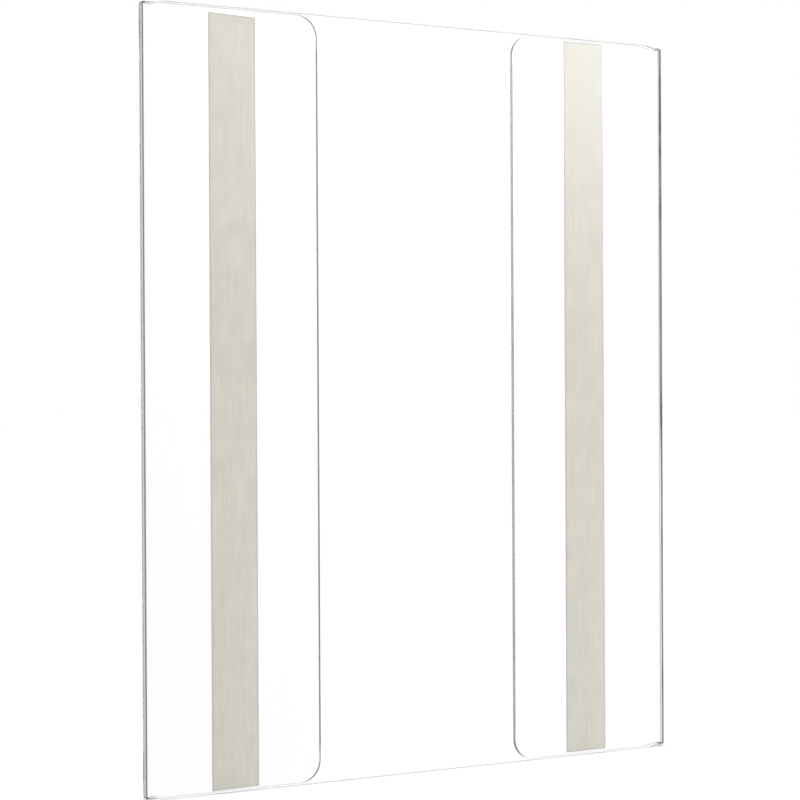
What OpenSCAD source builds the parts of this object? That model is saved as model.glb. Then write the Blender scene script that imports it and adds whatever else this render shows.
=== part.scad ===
/* [Insert] */
// Width of the paper sheet that the holder takes
insert_w = 215.9; // [160:0.1:300]
// Height of the paper sheet, and so of the holder
insert_h = 279.4; // [140:0.1:430]
// Room beside the paper at each fold
insert_side_room = 1.1; // [0.3:0.1:3]
// Depth of the slot between the front and the flaps
pocket_gap = 2; // [0.8:0.1:4]

/* [Folded sheet] */
// Thickness of the acrylic sheet
sheet_t = 1.5; // [1.2:0.1:4]
// Width of a back flap, from the outside of its fold to its free edge
flap_w = 69; // [45:0.5:75]
// Radius of the two free corners of a flap
flap_corner_r = 8; // [2:0.5:16]
// How far the heated sheet draws in at the ends of a fold
draw_in = 0.8; // [0.3:0.1:1.5]
// Length of the drawn-in edge, from the outside of the fold
draw_l = 10; // [6:0.5:14]

/* [Tape strips] */
// Width of a double-sided tape strip
tape_w = 18; // [8:0.5:25]
// How far a strip lies off the middle of its flap, towards the free edge
tape_off_middle = 1.2; // [-4:0.1:4]
// Distance from a strip's ends to the top and bottom edges of its flap
tape_end_margin = 1; // [0.5:0.1:20]
// Thickness of an adhesive layer
adhesive_t = 0.1; // [0.05:0.01:0.5]
// Thickness of the carrier between the two adhesive layers
carrier_t = 0.15; // [0.05:0.01:1.5]
// Thickness of the release liner that is peeled off before mounting
liner_t = 0.12; // [0.05:0.01:0.3]

/* [Hidden] */
$fn = 96;

// Sides as seen from the front, where +Y points to the wall
LEFT = -1;
RIGHT = 1;

// The wall touches the liners at y = 0, and the layers follow towards the front
liner_front_y = -liner_t;
wall_adhesive_front_y = liner_front_y - adhesive_t;
carrier_front_y = wall_adhesive_front_y - carrier_t;
flap_back_y = carrier_front_y - adhesive_t;

// The fold is a half turn: the pocket's half depth is its inner radius
fold_inner_r = pocket_gap / 2;
fold_outer_r = fold_inner_r + sheet_t;
fold_axis_y = flap_back_y - fold_outer_r;
panel_w = insert_w + 2 * insert_side_room + 2 * sheet_t;
panel_h = insert_h;
fold_axis_x = panel_w / 2 - fold_outer_r;
window_w = panel_w - 2 * flap_w;

// A strip runs down its flap, a little off the middle
tape_x = panel_w / 2 - flap_w / 2 - tape_off_middle;
tape_l = panel_h - 2 * tape_end_margin;

// The drawn-in edge is one shallow arc: it is deepest near the fold and rises again at the outside
draw_deepest = 0.4 * draw_l;
draw_run = draw_l - draw_deepest;
draw_r = (draw_run * draw_run + draw_in * draw_in) / (2 * draw_in);

// Overlap that carries a cut past the face it starts from
cut = 1;

ACRYLIC = [0.90, 0.95, 0.96, 0.35];
ADHESIVE = [0.86, 0.84, 0.77, 0.8];
CARRIER = [0.83, 0.81, 0.75];
LINER = [0.88, 0.86, 0.80];

// A slot with round ends, as wide as the fold axes stand apart
module folded_outline(r) {
    square([2 * fold_axis_x, 2 * r], center = true);
    for (side = [LEFT, RIGHT])
        translate([side * fold_axis_x, 0])
            circle(r);
}

// Section through the sheet: a flat front, two half-turn folds, two flaps and the window between them
module sheet_section() {
    translate([0, fold_axis_y])
        difference() {
            folded_outline(fold_outer_r);
            folded_outline(fold_inner_r);
            translate([-window_w / 2, 0])
                square([window_w, fold_outer_r + cut]);
        }
}

// What is missing outside a rounded corner, with the corner at the origin and the sheet at -X and -Y
module corner_waste(r) {
    difference() {
        translate([-r, -r])
            square(r + cut);
        translate([-r, -r])
            circle(r);
    }
}

// What is missing at the end of a fold, with the corner at the origin and the sheet at -X and -Y
module draw_waste() {
    translate([-draw_deepest, draw_r - draw_in])
        circle(draw_r);
}

// A flat shape drawn in X and Z, cut through the sheet from the back face forwards
module through_y(back_y, depth) {
    translate([0, back_y, 0])
        rotate([90, 0, 0])
            linear_extrude(depth)
                children();
}

// The same shape at the top and the bottom of both sides, with its corner x from the middle
module at_four_corners(x) {
    for (side = [LEFT, RIGHT], end = [-1, 1])
        turned_to(side, end)
            translate([x, panel_h / 2])
                children();
}

// Turns a shape drawn for the upper right corner to the named side and end
module turned_to(side, end) {
    mirror([side == LEFT ? 1 : 0, 0])
        mirror([0, end < 0 ? 1 : 0])
            children();
}

// One layer of a tape strip, from its front face towards the wall
module tape_layer(side, front_y, thickness) {
    translate([side * tape_x - tape_w / 2, front_y, -tape_l / 2])
        cube([tape_w, thickness, tape_l]);
}

module folded_panel() {
    color(ACRYLIC)
        difference() {
            linear_extrude(panel_h, center = true)
                sheet_section();
            through_y(flap_back_y + cut, sheet_t + fold_inner_r + cut)
                at_four_corners(-window_w / 2)
                    corner_waste(flap_corner_r);
            through_y(flap_back_y + cut, 2 * fold_outer_r + 2 * cut)
                at_four_corners(panel_w / 2)
                    draw_waste();
        }
}

module left_panel_adhesive() { color(ADHESIVE) tape_layer(LEFT, flap_back_y, adhesive_t); }
module left_carrier() { color(CARRIER) tape_layer(LEFT, carrier_front_y, carrier_t); }
module left_wall_adhesive() { color(ADHESIVE) tape_layer(LEFT, wall_adhesive_front_y, adhesive_t); }
module left_liner() { color(LINER) tape_layer(LEFT, liner_front_y, liner_t); }

module right_panel_adhesive() { color(ADHESIVE) tape_layer(RIGHT, flap_back_y, adhesive_t); }
module right_carrier() { color(CARRIER) tape_layer(RIGHT, carrier_front_y, carrier_t); }
module right_wall_adhesive() { color(ADHESIVE) tape_layer(RIGHT, wall_adhesive_front_y, adhesive_t); }
module right_liner() { color(LINER) tape_layer(RIGHT, liner_front_y, liner_t); }

folded_panel();
left_panel_adhesive();
left_carrier();
left_wall_adhesive();
left_liner();
right_panel_adhesive();
right_carrier();
right_wall_adhesive();
right_liner();
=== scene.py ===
"""Looks of a clear acrylic wall sign holder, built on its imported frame.

Lengths are in metres, with +Z up, +Y towards the wall and +X to the right as seen from the front.
"""

import math

import bmesh
import bpy
from mathutils import Matrix, Vector


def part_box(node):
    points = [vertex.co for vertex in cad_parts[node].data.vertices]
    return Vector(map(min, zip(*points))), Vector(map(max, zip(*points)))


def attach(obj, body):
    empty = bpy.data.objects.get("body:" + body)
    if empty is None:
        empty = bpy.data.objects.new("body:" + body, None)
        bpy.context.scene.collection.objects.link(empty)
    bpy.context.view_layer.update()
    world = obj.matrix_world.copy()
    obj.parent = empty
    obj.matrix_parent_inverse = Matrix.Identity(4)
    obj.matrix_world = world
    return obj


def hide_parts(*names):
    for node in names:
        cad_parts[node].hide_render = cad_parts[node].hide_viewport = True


bl_info = {
    "name": "Acrylic Wall Sign Holder",
    "version": (1, 0, 0),
    "blender": (4, 5, 0),
    "location": "3D View > Sidebar > Sign Holder",
    "description": "Builds the folded sheet, the tape strips, their liners and the studio",
    "category": "Add Mesh",
}

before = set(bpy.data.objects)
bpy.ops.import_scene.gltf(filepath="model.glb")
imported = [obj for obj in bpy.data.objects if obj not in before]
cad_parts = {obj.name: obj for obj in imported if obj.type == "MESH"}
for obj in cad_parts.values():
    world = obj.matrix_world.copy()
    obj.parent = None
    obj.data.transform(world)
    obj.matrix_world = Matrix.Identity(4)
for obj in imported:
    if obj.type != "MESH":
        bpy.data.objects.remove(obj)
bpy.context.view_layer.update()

MM = 0.001
SIDES = ("left", "right")
STRIP_LAYERS = ("panel_adhesive", "carrier", "wall_adhesive")
MATH = "ShaderNodeMath"
MIX = "ShaderNodeMix"
NOISE = "ShaderNodeTexNoise"
RANGE = "ShaderNodeMapRange"
ACRYLIC_IOR = 1.49

# The fold is a half turn, so the sheet's depth gives its outer radius and its middle
SHEET_LOW, SHEET_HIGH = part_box("folded_panel")
HALF_WIDTH = SHEET_HIGH.x
HALF_HEIGHT = SHEET_HIGH.z
FOLD_OUTER_R = (SHEET_HIGH.y - SHEET_LOW.y) / 2
FOLD_CENTRE_X = HALF_WIDTH - FOLD_OUTER_R
FOLD_CENTRE_Y = (SHEET_HIGH.y + SHEET_LOW.y) / 2


def linear(hex_colour):
    """An sRGB hex colour as linear red, green and blue."""
    channels = [int(hex_colour[i : i + 2], 16) / 255 for i in (1, 3, 5)]
    return [c / 12.92 if c <= 0.04045 else ((c + 0.055) / 1.055) ** 2.4 for c in channels]


def add(tree, kind, inputs=(), **settings):
    """Adds a node with its settings. Its inputs are values, or nodes and sockets to link from."""
    node = tree.nodes.new(kind)
    for name, value in settings.items():
        setattr(node, name, value)
    for key, value in inputs.items() if isinstance(inputs, dict) else enumerate(inputs):
        if isinstance(value, bpy.types.Node):
            value = value.outputs[0]
        if isinstance(value, bpy.types.NodeSocket):
            tree.links.new(value, node.inputs[key])
        else:
            node.inputs[key].default_value = value
    return node


def length(name, description, default):
    """A length in metres that a user may change."""
    return bpy.props.FloatProperty(
        name=name,
        description=description,
        default=default,
        precision=5,
        subtype="DISTANCE",
        unit="LENGTH",
    )


def angle(name, description, degrees):
    """An angle that a user may change."""
    return bpy.props.FloatProperty(
        name=name,
        description=description,
        default=math.radians(degrees),
        subtype="ANGLE",
        unit="ROTATION",
    )


def level(name, description, default):
    """A plain number, at least 0, that a user may change."""
    return bpy.props.FloatProperty(name=name, description=description, default=default, min=0)


def colour(name, description, hex_colour):
    """A colour that a user may change."""
    return bpy.props.FloatVectorProperty(
        name=name,
        description=description,
        default=linear(hex_colour),
        size=3,
        min=0,
        max=1,
        subtype="COLOR",
    )


class SignSheetSettings(bpy.types.PropertyGroup):
    """Sizes and finish of the folded sheet"""

    wall: length("Wall", "Thickness of the acrylic sheet", 1.5 * MM)
    flap_width: length("Flap Width", "From the outside of a fold to the flap's free edge", 69 * MM)
    corner_radius: length("Corner Radius", "Radius of the free corners of a flap", 8 * MM)
    draw_in: length("Draw-in", "How far the heated sheet draws in at the ends of a fold", 0.8 * MM)
    draw_length: length("Draw-in Length", "From the outside of a fold to the full height", 8.5 * MM)
    draw_run: length("Draw-in Run", "Length over which the end drops", 4 * MM)
    bulge: length("Bulge", "How far the squeezed inside of a fold stands out at its ends", 0.6 * MM)
    pinch: length("Pinch", "How far the stretched outside of a fold sinks at its ends", 0.25 * MM)
    arris: length("Arris", "Width of the broken edge along every cut", 0.18 * MM)
    # The bend line and its colour are painted shade down the back of each fold
    line_start: angle("Bend Line Start", "Turn from the start of the fold to its dull line", 131)
    line_end: angle("Bend Line End", "Turn from the start of the fold to the end of the line", 152)
    line_fade: angle("Bend Line Fade", "Turn over which the dull line fades in and out", 0.5)
    clear_colour: colour("Clear", "Colour of the clear sheet", "#FEFEFE")
    bend_line_shade_colour: colour("Bend Line Shade", "Colour of the sheet along its bend lines", "#0C0D0E")
    # The grey of the sawn edges is partly their satin and partly painted shade
    cut_colour: colour("Cut Edge", "Colour of the sawn edges", "#8A8D8D")
    # The fold edge shade is painted shade on the cut edges at and near the folds
    fold_edge_shade_reach: length("Fold Edge Shade Reach", "How far the strained edge reaches past a fold", 3 * MM)
    fold_edge_shade_colour: colour("Fold Edge Shade", "Colour of the edge where the fold strained it", "#2E3133")
    # The corner shade is painted shade on the routed corners
    corner_shade: level("Corner Shade", "How close the routed corners come to the strained colour", 0.8)


class SignTapeSettings(bpy.types.PropertyGroup):
    """Lie and colours of the tape strips and their liners"""

    air_film: length("Air Film", "Air that is left between the adhesive and the flap", 0.02 * MM)
    wander: length("Edge Wander", "How far a strip's long edges stray from straight", 0.1 * MM)
    wander_length: length("Wander Length", "Length of a stray along a strip's edge", 30 * MM)
    adhesive_colour: colour("Adhesive", "Colour of the adhesive", "#D9D6C9")
    carrier_colour: colour("Carrier", "Colour of the carrier", "#D8D5C8")
    liner_colour: colour("Liner", "Colour of the release liner", "#E2DED0")


class SignStageSettings(bpy.types.PropertyGroup):
    """Light, floor and camera of the studio"""

    floor_colour: colour("Floor", "Colour of the studio floor", "#F4F4F2")
    floor_glow: level("Floor Glow", "Light added to the floor where it is seen", 0.2)
    fill: level("Fill", "Strength of the light from all round", 0.9)
    sides: level("Sides", "Brightness of what the sheet shows from the left and right", 0.6)
    rear: level("Rear", "Brightness of what the sheet reflects from the wall side", 0.2)
    glow: level("Glow", "Brightness that the large soft lamp adds to reflections", 2.6)
    key: bpy.props.FloatProperty(
        name="Key", description="Power of the soft lamp", default=4, min=0, unit="POWER"
    )
    lens: bpy.props.FloatProperty(
        name="Lens", description="Focal length on a 36 mm sensor", default=89.645, unit="CAMERA"
    )
    camera_place: bpy.props.FloatVectorProperty(
        name="Camera Place",
        description="Where the camera stands",
        default=(-358.369 * MM, -658.287 * MM, 3.481 * MM),
        subtype="TRANSLATION",
        unit="LENGTH",
    )
    azimuth: angle("Azimuth", "Turn of the camera round the holder, from straight in front", -28.115)
    elevation: angle("Elevation", "Height of the camera above the horizon", 0.308)
    roll: angle("Roll", "Tilt of the camera about its view", -0.285)


def made_by_tree(name, tree, values, mesh=None):
    """An object whose mesh is what a node tree makes of a mesh, with the modifier removed."""
    made = bpy.data.objects.new(name, mesh or bpy.data.meshes.new(name))
    bpy.context.collection.objects.link(made)
    modifier = made.modifiers.new(tree.name, "NODES")
    modifier.node_group = tree
    for socket in tree.interface.items_tree:
        if socket.in_out == "INPUT" and socket.name in values:
            modifier[socket.identifier] = values[socket.name]
    depsgraph = bpy.context.evaluated_depsgraph_get()
    result = bpy.data.meshes.new_from_object(made.evaluated_get(depsgraph))
    made.modifiers.remove(modifier)
    made.data = result
    result.name = name
    return made


def new_tree(name, sockets):
    """An empty geometry tree with named inputs and one geometry output, and its input sockets."""
    tree = bpy.data.node_groups.new(name, "GeometryNodeTree")
    for socket_name, socket_type in sockets.items():
        tree.interface.new_socket(socket_name, in_out="INPUT", socket_type=socket_type)
    tree.interface.new_socket("Geometry", in_out="OUTPUT", socket_type="NodeSocketGeometry")
    return tree, add(tree, "NodeGroupInput").outputs


def finish_tree(tree, geometry, materials):
    """Ends a tree in Realize Instances and a Set Material for each material and its selection."""
    made = add(tree, "GeometryNodeRealizeInstances", [geometry])
    for material, selection in materials:
        inputs = {"Geometry": made, "Material": material}
        if selection is not None:
            inputs["Selection"] = selection
        made = add(tree, "GeometryNodeSetMaterial", inputs)
    add(tree, "NodeGroupOutput", [made])


def fold_tree():
    """Bends a flat blank round two vertical fold lines: X runs along the blank, Y through its wall."""
    tree, given = new_tree(
        "Fold Sheet",
        {
            "Geometry": "NodeSocketGeometry",
            "Fold Centre X": "NodeSocketFloat",
            "Fold Centre Y": "NodeSocketFloat",
            "Neutral Radius": "NodeSocketFloat",
            "Fold Edge Shade Reach": "NodeSocketFloat",
            "Faces": "NodeSocketMaterial",
            "Cut Edges": "NodeSocketMaterial",
        },
    )
    neutral_r = given["Neutral Radius"]
    place = add(tree, "ShaderNodeSeparateXYZ", [add(tree, "GeometryNodeInputPosition")])
    along, through, height = place.outputs
    side = add(tree, MATH, [along], operation="SIGN")
    run = add(tree, MATH, [along], operation="ABSOLUTE")
    past_line = add(tree, MATH, [run, given["Fold Centre X"]], operation="SUBTRACT")
    half_turn = add(tree, MATH, [neutral_r, math.pi], operation="MULTIPLY")
    started = add(tree, MATH, [past_line, 0.0], operation="MAXIMUM")
    in_fold = add(tree, MATH, [started, half_turn], operation="MINIMUM")
    turn = add(tree, MATH, [in_fold, neutral_r], operation="DIVIDE")
    past_fold = add(tree, MATH, [past_line, half_turn], operation="SUBTRACT")
    on_flap = add(tree, MATH, [past_fold, 0.0], operation="MAXIMUM")
    on_front = add(tree, MATH, [run, given["Fold Centre X"]], operation="MINIMUM")
    radius = add(tree, MATH, [neutral_r, through], operation="SUBTRACT")
    sine = add(tree, MATH, [turn], operation="SINE")
    cosine = add(tree, MATH, [turn], operation="COSINE")
    reach = add(tree, MATH, [radius, sine, on_front], operation="MULTIPLY_ADD")
    out = add(tree, MATH, [reach, on_flap], operation="SUBTRACT")
    depth = add(tree, MATH, [radius, cosine], operation="MULTIPLY")
    bent_x = add(tree, MATH, [out, side], operation="MULTIPLY")
    bent_y = add(tree, MATH, [given["Fold Centre Y"], depth], operation="SUBTRACT")
    bent = add(tree, "ShaderNodeCombineXYZ", [bent_x, bent_y, height])

    # How far the outer face has turned goes to the material, which places its painted shade line by it
    outside = add(tree, MATH, [through, 0.0], operation="LESS_THAN")
    outer_turn = add(tree, MATH, [turn, outside], operation="MULTIPLY")

    # The cut edges get painted shade at the fold, fading out on both sides of it
    before = add(tree, MATH, [past_line, -1.0], operation="MULTIPLY")
    beyond = add(tree, MATH, [before, past_fold], operation="MAXIMUM")
    fold_edge_shade = add(
        tree,
        RANGE,
        {"Value": beyond, "From Max": given["Fold Edge Shade Reach"], "To Min": 1.0, "To Max": 0.0},
    )

    # Whatever doesn't face straight through the wall of the blank was cut
    straight = 0.98
    normal = add(tree, "ShaderNodeSeparateXYZ", [add(tree, "GeometryNodeInputNormal")])
    facing = add(tree, MATH, [normal.outputs[1]], operation="ABSOLUTE")
    cut = add(tree, MATH, [facing, straight], operation="LESS_THAN")
    kept = add(tree, "GeometryNodeCaptureAttribute", {"Geometry": given["Geometry"]}, domain="FACE")
    kept.capture_items.new("BOOLEAN", "Cut")
    tree.links.new(cut.outputs[0], kept.inputs["Cut"])
    lined = add(
        tree,
        "GeometryNodeStoreNamedAttribute",
        {"Geometry": kept.outputs["Geometry"], "Name": "fold_turn", "Value": outer_turn},
    )
    # The mask of painted shade for the cut edges at the folds goes to the material too
    strained = add(
        tree,
        "GeometryNodeStoreNamedAttribute",
        {"Geometry": lined, "Name": "fold_edge_shade", "Value": fold_edge_shade},
    )
    moved = add(tree, "GeometryNodeSetPosition", {"Geometry": strained, "Position": bent})
    finish_tree(tree, moved, [(given["Faces"], None), (given["Cut Edges"], kept.outputs["Cut"])])
    return tree


def tape_tree():
    """Cuts one layer of a tape strip: a thin slab with slanted ends and edges that wander."""
    sizes = ("Centre", "Width", "Front", "Back", "Bottom", "Top", "Bottom Slant", "Top Slant")
    sockets = {name: "NodeSocketFloat" for name in (*sizes, "Wander", "Wander Length", "Seed")}
    tree, given = new_tree("Tape Layer", {**sockets, "Layer": "NodeSocketMaterial"})
    cube = add(
        tree,
        "GeometryNodeMeshCube",
        {"Size": (1, 1, 1), "Vertices X": 9, "Vertices Y": 2, "Vertices Z": 121},
    )
    spot = add(tree, "GeometryNodeInputPosition")
    across, through, up = add(tree, "ShaderNodeSeparateXYZ", [spot]).outputs

    # Each measure runs from one face of the unit cube to the other, and the slant from end to end
    measures = []
    spans = ((through, "Front", "Back"), (up, "Bottom", "Top"), (up, "Bottom Slant", "Top Slant"))
    for place, start, end in spans:
        faces = {"From Min": -0.5, "From Max": 0.5, "To Min": given[start], "To Max": given[end]}
        measures.append(add(tree, RANGE, {"Value": place, **faces}))
    thick, height, slant = measures
    off_middle = add(tree, MATH, [across, given["Width"]], operation="MULTIPLY")
    slanted = add(tree, MATH, [off_middle, slant, height], operation="MULTIPLY_ADD")

    # Each long edge strays on its own, because the noise is read far apart for the two
    far_apart = 8.0
    along = add(tree, MATH, [height, given["Wander Length"]], operation="DIVIDE")
    edge = add(tree, MATH, [across, far_apart], operation="MULTIPLY")
    noise = add(
        tree,
        NOISE,
        {"Vector": add(tree, "ShaderNodeCombineXYZ", [edge, along, given["Seed"]]), "Scale": 1.0},
    )
    stray = add(tree, MATH, [noise, 0.5], operation="SUBTRACT")
    strayed = add(tree, MATH, [stray, given["Wander"], off_middle], operation="MULTIPLY_ADD")
    wide = add(tree, MATH, [strayed, given["Centre"]], operation="ADD")
    marked = add(
        tree,
        "GeometryNodeStoreNamedAttribute",
        {"Geometry": cube, "Name": "lay", "Value": spot},
        data_type="FLOAT_VECTOR",
    )
    moved = add(
        tree,
        "GeometryNodeSetPosition",
        {"Geometry": marked, "Position": add(tree, "ShaderNodeCombineXYZ", [wide, thick, slanted])},
    )
    finish_tree(tree, moved, [(given["Layer"], None)])
    return tree


def smooth_step(low, high, value):
    """From 0 at low to 1 at high, level at both ends."""
    t = min(max((value - low) / (high - low), 0), 1)
    return t * t * (3 - 2 * t)


class Blank:
    """The flat sheet before it is bent, measured from its middle along the wall's neutral line."""

    END_ZONE = 14 * MM
    FOLD_STEPS = 96
    DRAW_STEPS = 28
    CORNER_STEPS = 24
    FLAT_STEP = 12 * MM
    EDGE_ANGLE = math.radians(60)

    def __init__(self, sheet):
        self.sheet = sheet
        self.neutral_r = FOLD_OUTER_R - sheet.wall / 2
        self.fold_middle = FOLD_CENTRE_X + math.pi / 2 * self.neutral_r
        self.fold_end = FOLD_CENTRE_X + math.pi * self.neutral_r
        self.free_edge = self.fold_end + sheet.flap_width - FOLD_OUTER_R

    def from_outside(self, along):
        """Distance in X from the outside of the fold, once the sheet is bent."""
        if along <= FOLD_CENTRE_X:
            return HALF_WIDTH - along
        if along >= self.fold_end:
            return FOLD_OUTER_R + along - self.fold_end
        turn = (along - FOLD_CENTRE_X) / self.neutral_r
        return FOLD_OUTER_R - self.neutral_r * math.sin(turn)

    def end_drop(self, along, outer):
        """How far the sheet's end lies below its full height, on the outer or the inner face."""
        sheet = self.sheet
        outside = self.from_outside(along)
        drawn = smooth_step(sheet.draw_length, sheet.draw_length - sheet.draw_run, outside)
        strained = smooth_step(FOLD_OUTER_R, self.from_outside(self.fold_middle), outside)
        drop = sheet.draw_in * drawn + (sheet.pinch if outer else -sheet.bulge) * strained
        into_corner = sheet.corner_radius - (self.free_edge - along)
        if into_corner > 0:
            radius = sheet.corner_radius
            drop += radius - math.sqrt(max(radius**2 - into_corner**2, 0))
        return drop

    def columns(self):
        """Places along one half of the blank: close together where its outline or the fold bends."""
        sheet = self.sheet
        draw_start = HALF_WIDTH - sheet.draw_length
        corner_start = self.free_edge - sheet.corner_radius
        flap_draw_end = self.fold_end + sheet.draw_length - FOLD_OUTER_R
        flat_steps = round(draw_start / self.FLAT_STEP)
        flap_steps = round((corner_start - flap_draw_end) / self.FLAT_STEP)
        stretches = [
            (0, draw_start, flat_steps),
            (draw_start, FOLD_CENTRE_X, self.DRAW_STEPS),
            (FOLD_CENTRE_X, self.fold_end, self.FOLD_STEPS),
            (self.fold_end, flap_draw_end, self.DRAW_STEPS),
            (flap_draw_end, corner_start, flap_steps),
        ]
        places = [a + (b - a) * i / n for a, b, n in stretches for i in range(n)]
        for i in range(self.CORNER_STEPS + 1):
            turn = math.pi / 2 * i / self.CORNER_STEPS
            places.append(corner_start + sheet.corner_radius * math.sin(turn))
        return places

    def heights(self, along, outer):
        """Places up one face of the blank at one column, from end to end."""
        top = HALF_HEIGHT - self.end_drop(along, outer)
        upper = [0, HALF_HEIGHT / 3, 2 * HALF_HEIGHT / 3, HALF_HEIGHT - self.END_ZONE, top]
        return [-z for z in reversed(upper[1:])] + upper

    def mesh(self):
        """The blank as a closed slab with broken edges."""
        half = self.columns()
        columns = [-s for s in reversed(half[1:])] + half
        bm = bmesh.new()
        front, back = (
            [[bm.verts.new((s, y, z)) for z in self.heights(abs(s), y < 0)] for s in columns]
            for y in (-self.sheet.wall / 2, self.sheet.wall / 2)
        )
        for i in range(len(columns) - 1):
            for j in range(len(front[i]) - 1):
                bm.faces.new((front[i][j], front[i + 1][j], front[i + 1][j + 1], front[i][j + 1]))
                bm.faces.new((back[i][j], back[i][j + 1], back[i + 1][j + 1], back[i + 1][j]))
            for j in (0, -1):
                bm.faces.new((front[i][j], back[i][j], back[i + 1][j], front[i + 1][j]))
        for i in (0, -1):
            for j in range(len(front[i]) - 1):
                bm.faces.new((front[i][j], front[i][j + 1], back[i][j + 1], back[i][j]))
        bmesh.ops.recalc_face_normals(bm, faces=bm.faces)
        edges = [e for e in bm.edges if e.calc_face_angle() > self.EDGE_ANGLE]
        arris = {"offset": self.sheet.arris, "segments": 2, "profile": 0.5, "affect": "EDGES"}
        bmesh.ops.bevel(bm, geom=edges, **arris)
        mesh = bpy.data.meshes.new("sheet_blank")
        bm.to_mesh(mesh)
        bm.free()
        return mesh


def new_material(name):
    """An empty material, its tree and its shader."""
    material = bpy.data.materials.new(name)
    material.use_nodes = True
    tree = material.node_tree
    tree.nodes.clear()
    shader = add(tree, "ShaderNodeBsdfPrincipled")
    add(tree, "ShaderNodeOutputMaterial", [shader])
    return material, tree, shader


def polished_acrylic(sheet):
    """Extruded acrylic sheet: water clear and glossy, with a painted shade line down the back of each
    fold.
    """
    material, tree, shader = new_material("Extruded acrylic, polished")
    place = add(tree, "ShaderNodeTexCoord").outputs["Object"]

    # A painted shade line runs down the back of each fold and darkens light leaving there at a slant.
    # Above the middle of the sheet it also darkens light that is less slanted, so it looks wider
    least_slant, full_slant, widening = 0.11, 0.12, 0.03
    turn = add(tree, "ShaderNodeAttribute", attribute_name="fold_turn").outputs["Fac"]
    height = add(tree, "ShaderNodeSeparateXYZ", [place]).outputs["Z"]
    rise = {"Value": height, "From Min": -30 * MM, "From Max": 0.0, "To Max": widening}
    wider = add(tree, RANGE, rise)
    facing = add(tree, "ShaderNodeLayerWeight").outputs["Facing"]
    slant = add(tree, MATH, [facing, wider], operation="ADD")
    line = add(tree, "ShaderNodeNewGeometry").outputs["Backfacing"]
    ramps = (
        (turn, sheet.line_start, sheet.line_start + sheet.line_fade),
        (turn, sheet.line_end, sheet.line_end - sheet.line_fade),
        (slant, least_slant, full_slant),
    )
    for value, outer, inner in ramps:
        ramp = {"Value": value, "From Min": outer, "From Max": inner}
        fade = add(tree, RANGE, ramp, interpolation_type="SMOOTHSTEP")
        line = add(tree, MATH, [fade, line], operation="MULTIPLY")

    # The painted shade line comes and goes a little, in stretches of about 20 mm
    stretches = add(tree, NOISE, {"Vector": place, "Scale": 1 / (20 * MM), "Detail": 2.0})
    patchy = add(tree, RANGE, {"Value": stretches, "From Min": 0.3, "From Max": 0.7, "To Min": 0.94})
    painted_fold_shade = add(tree, MATH, [line, patchy], operation="MULTIPLY")
    tint = add(
        tree,
        MIX,
        {0: painted_fold_shade, 6: (*sheet.clear_colour, 1), 7: (*sheet.bend_line_shade_colour, 1)},
        data_type="RGBA",
    )
    tree.links.new(tint.outputs[2], shader.inputs["Base Color"])

    # Wiping leaves smears about 40 mm across that dull the gloss a very little
    smears = add(tree, NOISE, {"Vector": place, "Scale": 1 / (40 * MM), "Detail": 3.0})
    gloss = add(tree, RANGE, {"Value": smears, "From Min": 0.4, "From Max": 0.8, "To Max": 0.03})
    tree.links.new(gloss.outputs[0], shader.inputs["Roughness"])
    shader.inputs["IOR"].default_value = ACRYLIC_IOR
    shader.inputs["Transmission Weight"].default_value = 1.0
    return material


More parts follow.
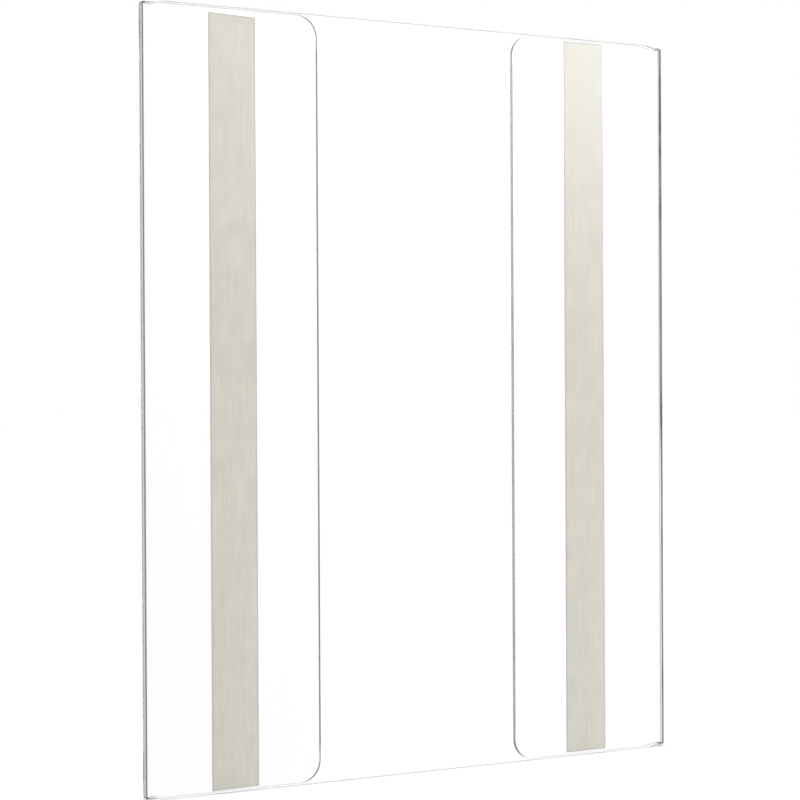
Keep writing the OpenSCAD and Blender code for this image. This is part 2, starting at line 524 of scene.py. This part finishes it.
def cut_acrylic(sheet):
    """Acrylic cut by a saw and worked with a scraper: satin and half clear, with fine marks across the
    edge.
    """
    material, tree, shader = new_material("Acrylic, saw-cut edge")
    place = add(tree, "ShaderNodeTexCoord").outputs["Object"]

    # Tooth marks are about 0.3 mm apart, drawn 1.2 mm apart so that they show, and the scraping comes
    # and goes over about 15 mm
    teeth = add(tree, NOISE, {"Vector": place, "Scale": 1 / (1.2 * MM), "Detail": 1.0})
    worn = add(tree, NOISE, {"Vector": place, "Scale": 1 / (15 * MM), "Detail": 2.0})

    # The tilt of a cut is nothing on the flaps' free edges and a quarter turn on the top and bottom
    normal = add(tree, "ShaderNodeNewGeometry").outputs["Normal"]
    sideways, _, upright = add(tree, "ShaderNodeSeparateXYZ", [normal]).outputs
    sideways = add(tree, MATH, [sideways], operation="ABSOLUTE")
    upright = add(tree, MATH, [upright], operation="ABSOLUTE")
    tilt = add(tree, MATH, [upright, sideways], operation="ARCTAN2")
    ramps = []
    for start, end in ((60, 80), (2, 12), (70, 60)):
        limits = {"From Min": math.radians(start), "From Max": math.radians(end)}
        ramps.append(add(tree, RANGE, {"Value": tilt, **limits}))
    is_level, past_free_edge, before_level = ramps

    # The bottom edge is painted clearer than the other cuts: painted light that makes up for the
    # floor's shade on it
    height = add(tree, "ShaderNodeSeparateXYZ", [place]).outputs["Z"]
    lower = add(tree, MATH, [height, 0.0], operation="LESS_THAN")
    bottom = add(tree, MATH, [is_level, lower], operation="MULTIPLY")
    wear_and_painted_light = add(tree, MATH, [worn, bottom], operation="MAXIMUM")
    # A cut's grey is partly the satin of the cut and partly painted shade
    pale = add(
        tree,
        MIX,
        {0: wear_and_painted_light, 6: (*sheet.cut_colour, 1), 7: (*sheet.clear_colour, 1)},
        data_type="RGBA",
    )

    # The rounded corners were routed, and get painted shade nearly as dark as that at the folds
    corner = add(tree, MATH, [past_free_edge, before_level], operation="MULTIPLY")
    routed = add(tree, MATH, [corner, sheet.corner_shade], operation="MULTIPLY")
    # Cut edges at a fold and a little past it get painted shade
    fold_edge_shade = add(tree, "ShaderNodeAttribute", attribute_name="fold_edge_shade").outputs["Fac"]
    dark = add(tree, MATH, [routed, fold_edge_shade], operation="MAXIMUM")
    tint = add(
        tree,
        MIX,
        {0: dark, 6: pale.outputs[2], 7: (*sheet.fold_edge_shade_colour, 1)},
        data_type="RGBA",
    )
    tree.links.new(tint.outputs[2], shader.inputs["Base Color"])
    rough = add(
        tree,
        RANGE,
        {"Value": teeth, "From Min": 0.3, "From Max": 0.7, "To Min": 0.25, "To Max": 0.45},
    )
    tree.links.new(rough.outputs[0], shader.inputs["Roughness"])
    shader.inputs["IOR"].default_value = ACRYLIC_IOR
    shader.inputs["Transmission Weight"].default_value = 0.85
    return material


def adhesive(tape):
    """Acrylic adhesive coated on tape: matt cream grey and streaked, with pale flecks of air."""
    material, tree, shader = new_material("Acrylic adhesive, coated")
    place = add(tree, "ShaderNodeTexCoord").outputs["Object"]

    # Coating streaks are about 0.6 mm wide and 15 mm long, over clouds about 7 mm across
    streak_width, streak_length = 0.6 * MM, 15 * MM
    stretch = (1, 1, streak_width / streak_length)
    drawn_out = add(tree, "ShaderNodeMapping", {"Vector": place, "Scale": stretch})
    streaks = add(tree, NOISE, {"Vector": drawn_out, "Scale": 1 / streak_width, "Detail": 2.0})
    clouds = add(tree, NOISE, {"Vector": place, "Scale": 1 / (7 * MM), "Detail": 3.0})
    blend = add(tree, MATH, [streaks, clouds], operation="ADD")
    shade = add(
        tree,
        RANGE,
        {"Value": blend, "From Min": 0.6, "From Max": 1.4, "To Min": 0.9, "To Max": 1.08},
    )

    # Flecks of air are about 0.5 mm wide and 1.5 mm long, one in each cell of 5 by 15 mm
    cell_width, cell_shape = 5 * MM, 3.0
    x, _, z = add(tree, "ShaderNodeSeparateXYZ", [place]).outputs
    squeezed = add(tree, MATH, [z, cell_shape], operation="DIVIDE")
    cells = add(tree, "ShaderNodeCombineXYZ", [x, squeezed])
    fleck = add(
        tree,
        "ShaderNodeTexVoronoi",
        {"Vector": cells, "Scale": 1 / cell_width},
        voronoi_dimensions="2D",
    )
    air = add(
        tree,
        RANGE,
        {
            "Value": fleck.outputs["Distance"],
            "From Min": 0.03,
            "From Max": 0.08,
            "To Min": 0.09,
            "To Max": 0.0,
        },
        interpolation_type="SMOOTHSTEP",
    )
    shade = add(tree, MATH, [shade, air], operation="ADD")

    # The adhesive is darker in a rim about 0.7 mm wide along every edge of the strip
    rim_width, rim_depth = 0.7 * MM, 0.25
    low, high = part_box("left_carrier")
    spot = add(tree, "ShaderNodeAttribute", attribute_name="lay").outputs["Vector"]
    across, _, up = add(tree, "ShaderNodeSeparateXYZ", [spot]).outputs
    rims = []
    for reach, size in ((across, high.x - low.x), (up, high.z - low.z)):
        off_middle = add(tree, MATH, [reach], operation="ABSOLUTE")
        limits = {"From Min": 0.5 - rim_width / size, "From Max": 0.5, "To Max": rim_depth}
        fade = {"Value": off_middle, **limits}
        rims.append(add(tree, RANGE, fade, interpolation_type="SMOOTHSTEP"))
    rim = add(tree, MATH, rims, operation="MAXIMUM")
    shade = add(tree, MATH, [shade, rim], operation="SUBTRACT")
    tone = add(
        tree,
        MIX,
        {0: 1.0, 6: (*tape.adhesive_colour, 1), 7: shade},
        data_type="RGBA",
        blend_type="MULTIPLY",
    )
    tree.links.new(tone.outputs[2], shader.inputs["Base Color"])
    shader.inputs["Roughness"].default_value = 0.5
    return material


def carrier(tape):
    """Tissue carrier: a thin off-white web of short fibres, soaked with adhesive."""
    material, tree, shader = new_material("Tissue, adhesive soaked")
    place = add(tree, "ShaderNodeTexCoord").outputs["Object"]

    # Fibres clump in tufts about 0.8 mm across
    fibres = add(tree, NOISE, {"Vector": place, "Scale": 1 / (0.8 * MM), "Detail": 4.0})
    shade = add(
        tree,
        RANGE,
        {"Value": fibres, "From Min": 0.3, "From Max": 0.7, "To Min": 0.9, "To Max": 1.04},
    )
    tone = add(
        tree,
        MIX,
        {0: 1.0, 6: (*tape.carrier_colour, 1), 7: shade},
        data_type="RGBA",
        blend_type="MULTIPLY",
    )
    tree.links.new(tone.outputs[2], shader.inputs["Base Color"])
    shader.inputs["Roughness"].default_value = 0.6
    return material


def release_paper(tape):
    """Siliconised release paper: pale and satin smooth, with fibres showing through the coating."""
    material, tree, shader = new_material("Release paper, siliconised")
    place = add(tree, "ShaderNodeTexCoord").outputs["Object"]

    # Fibres are about 0.05 mm thick and lie along the web, drawn 0.5 mm thick so that they show
    along_web = add(tree, "ShaderNodeMapping", {"Vector": place, "Scale": (1, 1, 0.3)})
    fibres = add(tree, NOISE, {"Vector": along_web, "Scale": 1 / (0.5 * MM), "Detail": 3.0})
    clouds = add(tree, NOISE, {"Vector": place, "Scale": 1 / (12 * MM), "Detail": 2.0})
    blend = add(tree, MATH, [fibres, clouds], operation="ADD")
    shade = add(
        tree,
        RANGE,
        {"Value": blend, "From Min": 0.6, "From Max": 1.4, "To Min": 0.93, "To Max": 1.03},
    )
    tone = add(
        tree,
        MIX,
        {0: 1.0, 6: (*tape.liner_colour, 1), 7: shade},
        data_type="RGBA",
        blend_type="MULTIPLY",
    )
    tree.links.new(tone.outputs[2], shader.inputs["Base Color"])
    gloss = add(
        tree,
        RANGE,
        {"Value": fibres, "From Min": 0.3, "From Max": 0.7, "To Min": 0.3, "To Max": 0.42},
    )
    tree.links.new(gloss.outputs[0], shader.inputs["Roughness"])
    ripple = add(tree, "ShaderNodeBump", {"Strength": 0.15, "Distance": 0.02 * MM, "Height": fibres})
    tree.links.new(ripple.outputs[0], shader.inputs["Normal"])
    return material


# How each strip was laid: its ends against the solid's, and how far they are off square
STRIP_LAY = {
    "left": {
        "seed": 3.1,
        "top": -1.05 * MM,
        "bottom": -0.5 * MM,
        "top_slant": -0.03,
        "bottom_slant": 0.015,
    },
    "right": {
        "seed": 8.6,
        "top": 0.5 * MM,
        "bottom": -0.3 * MM,
        "top_slant": 0.0,
        "bottom_slant": 0.0,
    },
}


def strip_layer(tree, side, layer, tape, material, gap=0):
    """One layer of a side's tape strip, in the place of its solid, with a gap left at its front."""
    node = f"{side}_{layer}"
    low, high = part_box(node)
    lay = STRIP_LAY[side]
    values = {
        "Centre": (low.x + high.x) / 2,
        "Width": high.x - low.x,
        "Front": low.y + gap,
        "Back": high.y,
        "Bottom": low.z + lay["bottom"],
        "Top": high.z + lay["top"],
        "Bottom Slant": lay["bottom_slant"],
        "Top Slant": lay["top_slant"],
        "Wander": tape.wander,
        "Wander Length": tape.wander_length,
        "Seed": lay["seed"],
        "Layer": material,
    }
    piece = made_by_tree(f"{side}_strip_{layer}", tree, values)
    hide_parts(node)
    return piece


class SIGN_OT_folded_sheet(bpy.types.Operator):
    """Bends the clear sheet from its flat blank"""

    bl_idname = "sign_holder.folded_sheet"
    bl_label = "Folded Sheet"

    SHARP_ANGLE = math.radians(20)

    def execute(self, context):
        sheet = context.scene.sign_sheet
        blank = Blank(sheet)
        values = {
            "Fold Centre X": FOLD_CENTRE_X,
            "Fold Centre Y": FOLD_CENTRE_Y,
            "Neutral Radius": blank.neutral_r,
            "Fold Edge Shade Reach": sheet.fold_edge_shade_reach,
            "Faces": polished_acrylic(sheet),
            "Cut Edges": cut_acrylic(sheet),
        }
        piece = made_by_tree("folded_sheet", fold_tree(), values, blank.mesh())
        piece.data.shade_smooth()
        piece.data.set_sharp_from_angle(angle=self.SHARP_ANGLE)
        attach(piece, "holder")
        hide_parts("folded_panel")
        return {"FINISHED"}


class SIGN_OT_tape_strips(bpy.types.Operator):
    """Lays the tape's adhesive and carrier layers on both flaps"""

    bl_idname = "sign_holder.tape_strips"
    bl_label = "Tape Strips"

    def execute(self, context):
        tape = context.scene.sign_tape
        tree = tape_tree()
        glue = adhesive(tape)
        web = carrier(tape)
        for side in SIDES:
            for layer in STRIP_LAYERS:
                on_web = layer == "carrier"
                gap = tape.air_film if layer == "panel_adhesive" else 0
                piece = strip_layer(tree, side, layer, tape, web if on_web else glue, gap)
                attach(piece, "holder")
        return {"FINISHED"}


class SIGN_OT_release_liners(bpy.types.Operator):
    """Covers the wall side of both strips with their release liners"""

    bl_idname = "sign_holder.release_liners"
    bl_label = "Release Liners"

    def execute(self, context):
        tape = context.scene.sign_tape
        tree = tape_tree()
        paper = release_paper(tape)
        for side in SIDES:
            piece = strip_layer(tree, side, "liner", tape, paper)
            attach(piece, f"{side}_liner")
        return {"FINISHED"}


class SIGN_OT_stage(bpy.types.Operator):
    """Sets the floor, the light and the camera"""

    bl_idname = "sign_holder.stage"
    bl_label = "Stage"

    FLOOR_REACH = 6
    FLOOR_GAP = 0.1 * MM
    LAMP_SIZE = 1.2
    LAMP_PLACE = (0.9, -1.2, 1.3)
    CLIP_START = 10 * MM

    # What is seen through the sheet makes up for the light that its faces mirror away
    WHITE = 1.07

    # Where the light changes: angles are measured in plan, and heights are the Z of a direction
    SIDES = {"From Min": math.radians(42), "From Max": math.radians(60)}
    STEEP = {"From Min": 0.5, "From Max": 0.9}
    FRONT = {"From Min": math.radians(10), "From Max": math.radians(45), "To Min": 0.4, "To Max": 1.15}
    FRONT_RISE = 0.4
    REAR = {"From Min": -0.1, "From Max": 0.3}
    FLAG = {"From Min": math.radians(30), "From Max": math.radians(45)}
    FLAG_LEAN = math.radians(100)
    LAMP_LEFT = {"From Min": math.radians(15), "From Max": math.radians(40)}
    LAMP_BOTTOM = {"From Min": 0.0, "From Max": 0.28}
    LAMP_RIGHT = {"From Min": math.radians(60), "From Max": math.radians(42)}
    FILL_BELOW, FILL_ABOVE = 0.9, 1.1

    def execute(self, context):
        scene = context.scene
        stage = scene.sign_stage
        self.lay_floor(scene, stage)
        self.light(scene, stage)
        self.hang_lamp(scene, stage)
        self.set_camera(scene, stage)
        scene.view_settings.view_transform = "Standard"

        # Light runs a long way inside a clear sheet before it leaves at an edge
        scene.cycles.max_bounces = 64
        scene.cycles.transmission_bounces = 32
        scene.cycles.glossy_bounces = 48
        scene.cycles.blur_glossy = 0
        return {"FINISHED"}

    def lay_floor(self, scene, stage):
        """A wide plane of matt white paper under the holder, brightened where it is seen."""
        mesh = bpy.data.meshes.new("floor")
        reach = self.FLOOR_REACH
        height = -HALF_HEIGHT - self.FLOOR_GAP
        corners = [(x * reach, y * reach, height) for x, y in ((-1, -1), (1, -1), (1, 1), (-1, 1))]
        mesh.from_pydata(corners, [], [(0, 1, 2, 3)])
        floor = bpy.data.objects.new("floor", mesh)
        scene.collection.objects.link(floor)
        material, tree, shader = new_material("Matt white paper")
        place = add(tree, "ShaderNodeTexCoord").outputs["Object"]

        # Fibres give it faint specks, drawn about 3 mm across so that they show
        fibres = add(tree, NOISE, {"Vector": place, "Scale": 1 / (3 * MM), "Detail": 3.0})
        shade = add(tree, RANGE, {"Value": fibres, "To Min": 0.99, "To Max": 1.01})
        tone = add(
            tree,
            MIX,
            {0: 1.0, 6: (*stage.floor_colour, 1), 7: shade},
            data_type="RGBA",
            blend_type="MULTIPLY",
        )
        tree.links.new(tone.outputs[2], shader.inputs["Base Color"])
        path = add(tree, "ShaderNodeLightPath").outputs
        clear = [path["Is Glossy Ray"], path["Is Transmission Ray"]]
        clear = add(tree, MATH, clear, operation="MAXIMUM")
        seen = add(tree, MATH, [path["Is Camera Ray"], clear], operation="MAXIMUM")
        glow = add(tree, MATH, [seen, stage.floor_glow], operation="MULTIPLY")
        shader.inputs["Roughness"].default_value = 0.9
        shader.inputs["Specular IOR Level"].default_value = 0.1
        shader.inputs["Emission Color"].default_value = (1, 1, 1, 1)
        tree.links.new(glow.outputs[0], shader.inputs["Emission Strength"])
        mesh.materials.append(material)
        floor.visible_glossy = False
        floor.visible_transmission = False

    def light(self, scene, stage):
        """Even light from all round; the sheet shows it white, and darker to the sides."""
        world = bpy.data.worlds.new("studio")
        world.use_nodes = True
        scene.world = world
        tree = world.node_tree
        tree.nodes.clear()
        path = add(tree, "ShaderNodeLightPath").outputs
        direction = add(tree, "ShaderNodeTexCoord").outputs["Generated"]
        x, y, z = add(tree, "ShaderNodeSeparateXYZ", [direction]).outputs
        smooth = {"interpolation_type": "SMOOTHSTEP"}

        # The sides darken, but not where light comes steeply from above or below
        wide = add(tree, MATH, [x], operation="ABSOLUTE")
        deep = add(tree, MATH, [y], operation="ABSOLUTE")
        aside = add(tree, MATH, [wide, deep], operation="ARCTAN2")
        high = add(tree, MATH, [z], operation="ABSOLUTE")
        fading = {"Value": high, **self.STEEP, "To Min": stage.sides, "To Max": self.WHITE}
        steep = add(tree, RANGE, fading)
        darkening = {"Value": aside, **self.SIDES, "To Min": self.WHITE, "To Max": steep}
        sides = add(tree, RANGE, darkening, **smooth)

        # What the faces mirror from the front brightens to the right and upwards
        to_front = add(tree, MATH, [y, -1.0], operation="MULTIPLY")
        rightward = add(tree, MATH, [x, to_front], operation="ARCTAN2")
        raised = add(tree, MATH, [z, self.FRONT_RISE, rightward], operation="MULTIPLY_ADD")
        front = add(tree, RANGE, {"Value": raised, **self.FRONT})

        # A dark flag behind, to the left and low, shows only inside the sheet
        inside = add(tree, MATH, [path["Transmission Depth"], 0.5], operation="GREATER_THAN")
        behind = add(tree, MATH, [x, y], operation="ARCTAN2")
        leaning = add(tree, MATH, [z, self.FLAG_LEAN, behind], operation="MULTIPLY_ADD")
        clearing = {"Value": leaning, **self.FLAG, "To Min": stage.rear, "To Max": 1.0}
        flag = add(tree, RANGE, clearing, **smooth)
        rear = add(tree, MIX, {0: inside, 2: 1.0, 3: flag})

        # Both are for light that was mirrored once
        reflected = add(tree, MATH, [path["Glossy Depth"], 1.0, 0.5], operation="COMPARE")
        turning = {"Value": y, **self.REAR, "To Min": front, "To Max": rear}
        mirrored = add(tree, RANGE, turning, **smooth)
        mirrored = add(tree, MIX, {0: reflected, 2: 1.0, 3: mirrored})
        shown = add(tree, MATH, [sides, mirrored], operation="MULTIPLY")

        # The soft lamp stands in front, to the right, from the middle of the holder upwards
        lamp = reflected
        ramps = ((rightward, self.LAMP_LEFT), (z, self.LAMP_BOTTOM), (rightward, self.LAMP_RIGHT))
        for value, limits in ramps:
            fade = add(tree, RANGE, {"Value": value, **limits}, **smooth)
            lamp = add(tree, MATH, [lamp, fade], operation="MULTIPLY")
        shown = add(tree, MATH, [lamp, stage.glow, shown], operation="MULTIPLY_ADD")

        # The sheet shows all this; other pieces are lit evenly, and the backdrop is white
        below, above = self.FILL_BELOW * stage.fill, self.FILL_ABOVE * stage.fill
        fill = add(tree, RANGE, {"Value": z, "From Min": -1.0, "To Min": below, "To Max": above})
        clear = [path["Is Glossy Ray"], path["Is Transmission Ray"]]
        clear = add(tree, MATH, clear, operation="MAXIMUM")
        strength = add(tree, MIX, {0: clear, 2: fill, 3: shown})
        strength = add(tree, MIX, {0: path["Is Camera Ray"], 2: strength, 3: 1.0})
        background = add(tree, "ShaderNodeBackground", {"Color": (1, 1, 1, 1), "Strength": strength})
        add(tree, "ShaderNodeOutputWorld", [background])

    def hang_lamp(self, scene, stage):
        """One large soft lamp in front, above and to the right."""
        lamp = bpy.data.objects.new("key", bpy.data.lights.new("key", "AREA"))
        scene.collection.objects.link(lamp)
        lamp.data.shape = "DISK"
        lamp.data.size = self.LAMP_SIZE
        lamp.data.energy = stage.key
        lamp.location = self.LAMP_PLACE
        lamp.rotation_euler = (-lamp.location).to_track_quat("-Z", "Y").to_euler()

    def set_camera(self, scene, stage):
        """The camera of the photograph."""
        camera = bpy.data.objects.new("camera", bpy.data.cameras.new("camera"))
        scene.collection.objects.link(camera)
        level_reach = math.cos(stage.elevation)
        back = Vector(
            (
                math.sin(stage.azimuth) * level_reach,
                -math.cos(stage.azimuth) * level_reach,
                math.sin(stage.elevation),
            )
        )
        turn = (-back).to_track_quat("-Z", "Y").to_matrix().to_4x4()
        tilt = Matrix.Rotation(stage.roll, 4, "Z")
        camera.matrix_world = Matrix.Translation(stage.camera_place) @ turn @ tilt
        camera.data.lens = stage.lens
        camera.data.clip_start = self.CLIP_START
        scene.camera = camera


class SIGN_PT_holder(bpy.types.Panel):
    """Settings of the sign holder and the steps that build it"""

    bl_idname = "SIGN_PT_holder"
    bl_label = "Sign Holder"
    bl_space_type = "VIEW_3D"
    bl_region_type = "UI"
    bl_category = "Sign Holder"

    def draw(self, context):
        for step in STEPS:
            self.layout.operator(step.bl_idname)
        for name in SETTINGS:
            group = getattr(context.scene, name)
            box = self.layout.box()
            for prop in group.__annotations__:
                box.prop(group, prop)


STEPS = (SIGN_OT_folded_sheet, SIGN_OT_tape_strips, SIGN_OT_release_liners, SIGN_OT_stage)
SETTINGS = {
    "sign_sheet": SignSheetSettings,
    "sign_tape": SignTapeSettings,
    "sign_stage": SignStageSettings,
}
CLASSES = (*SETTINGS.values(), *STEPS, SIGN_PT_holder)


def register():
    for cls in CLASSES:
        bpy.utils.register_class(cls)
    for name, cls in SETTINGS.items():
        setattr(bpy.types.Scene, name, bpy.props.PointerProperty(type=cls))


def unregister():
    for name in SETTINGS:
        delattr(bpy.types.Scene, name)
    for cls in reversed(CLASSES):
        bpy.utils.unregister_class(cls)


def main():
    register()
    bpy.ops.sign_holder.folded_sheet()
    bpy.ops.sign_holder.tape_strips()
    bpy.ops.sign_holder.release_liners()
    bpy.ops.sign_holder.stage()


if __name__ == "__main__":
    main()
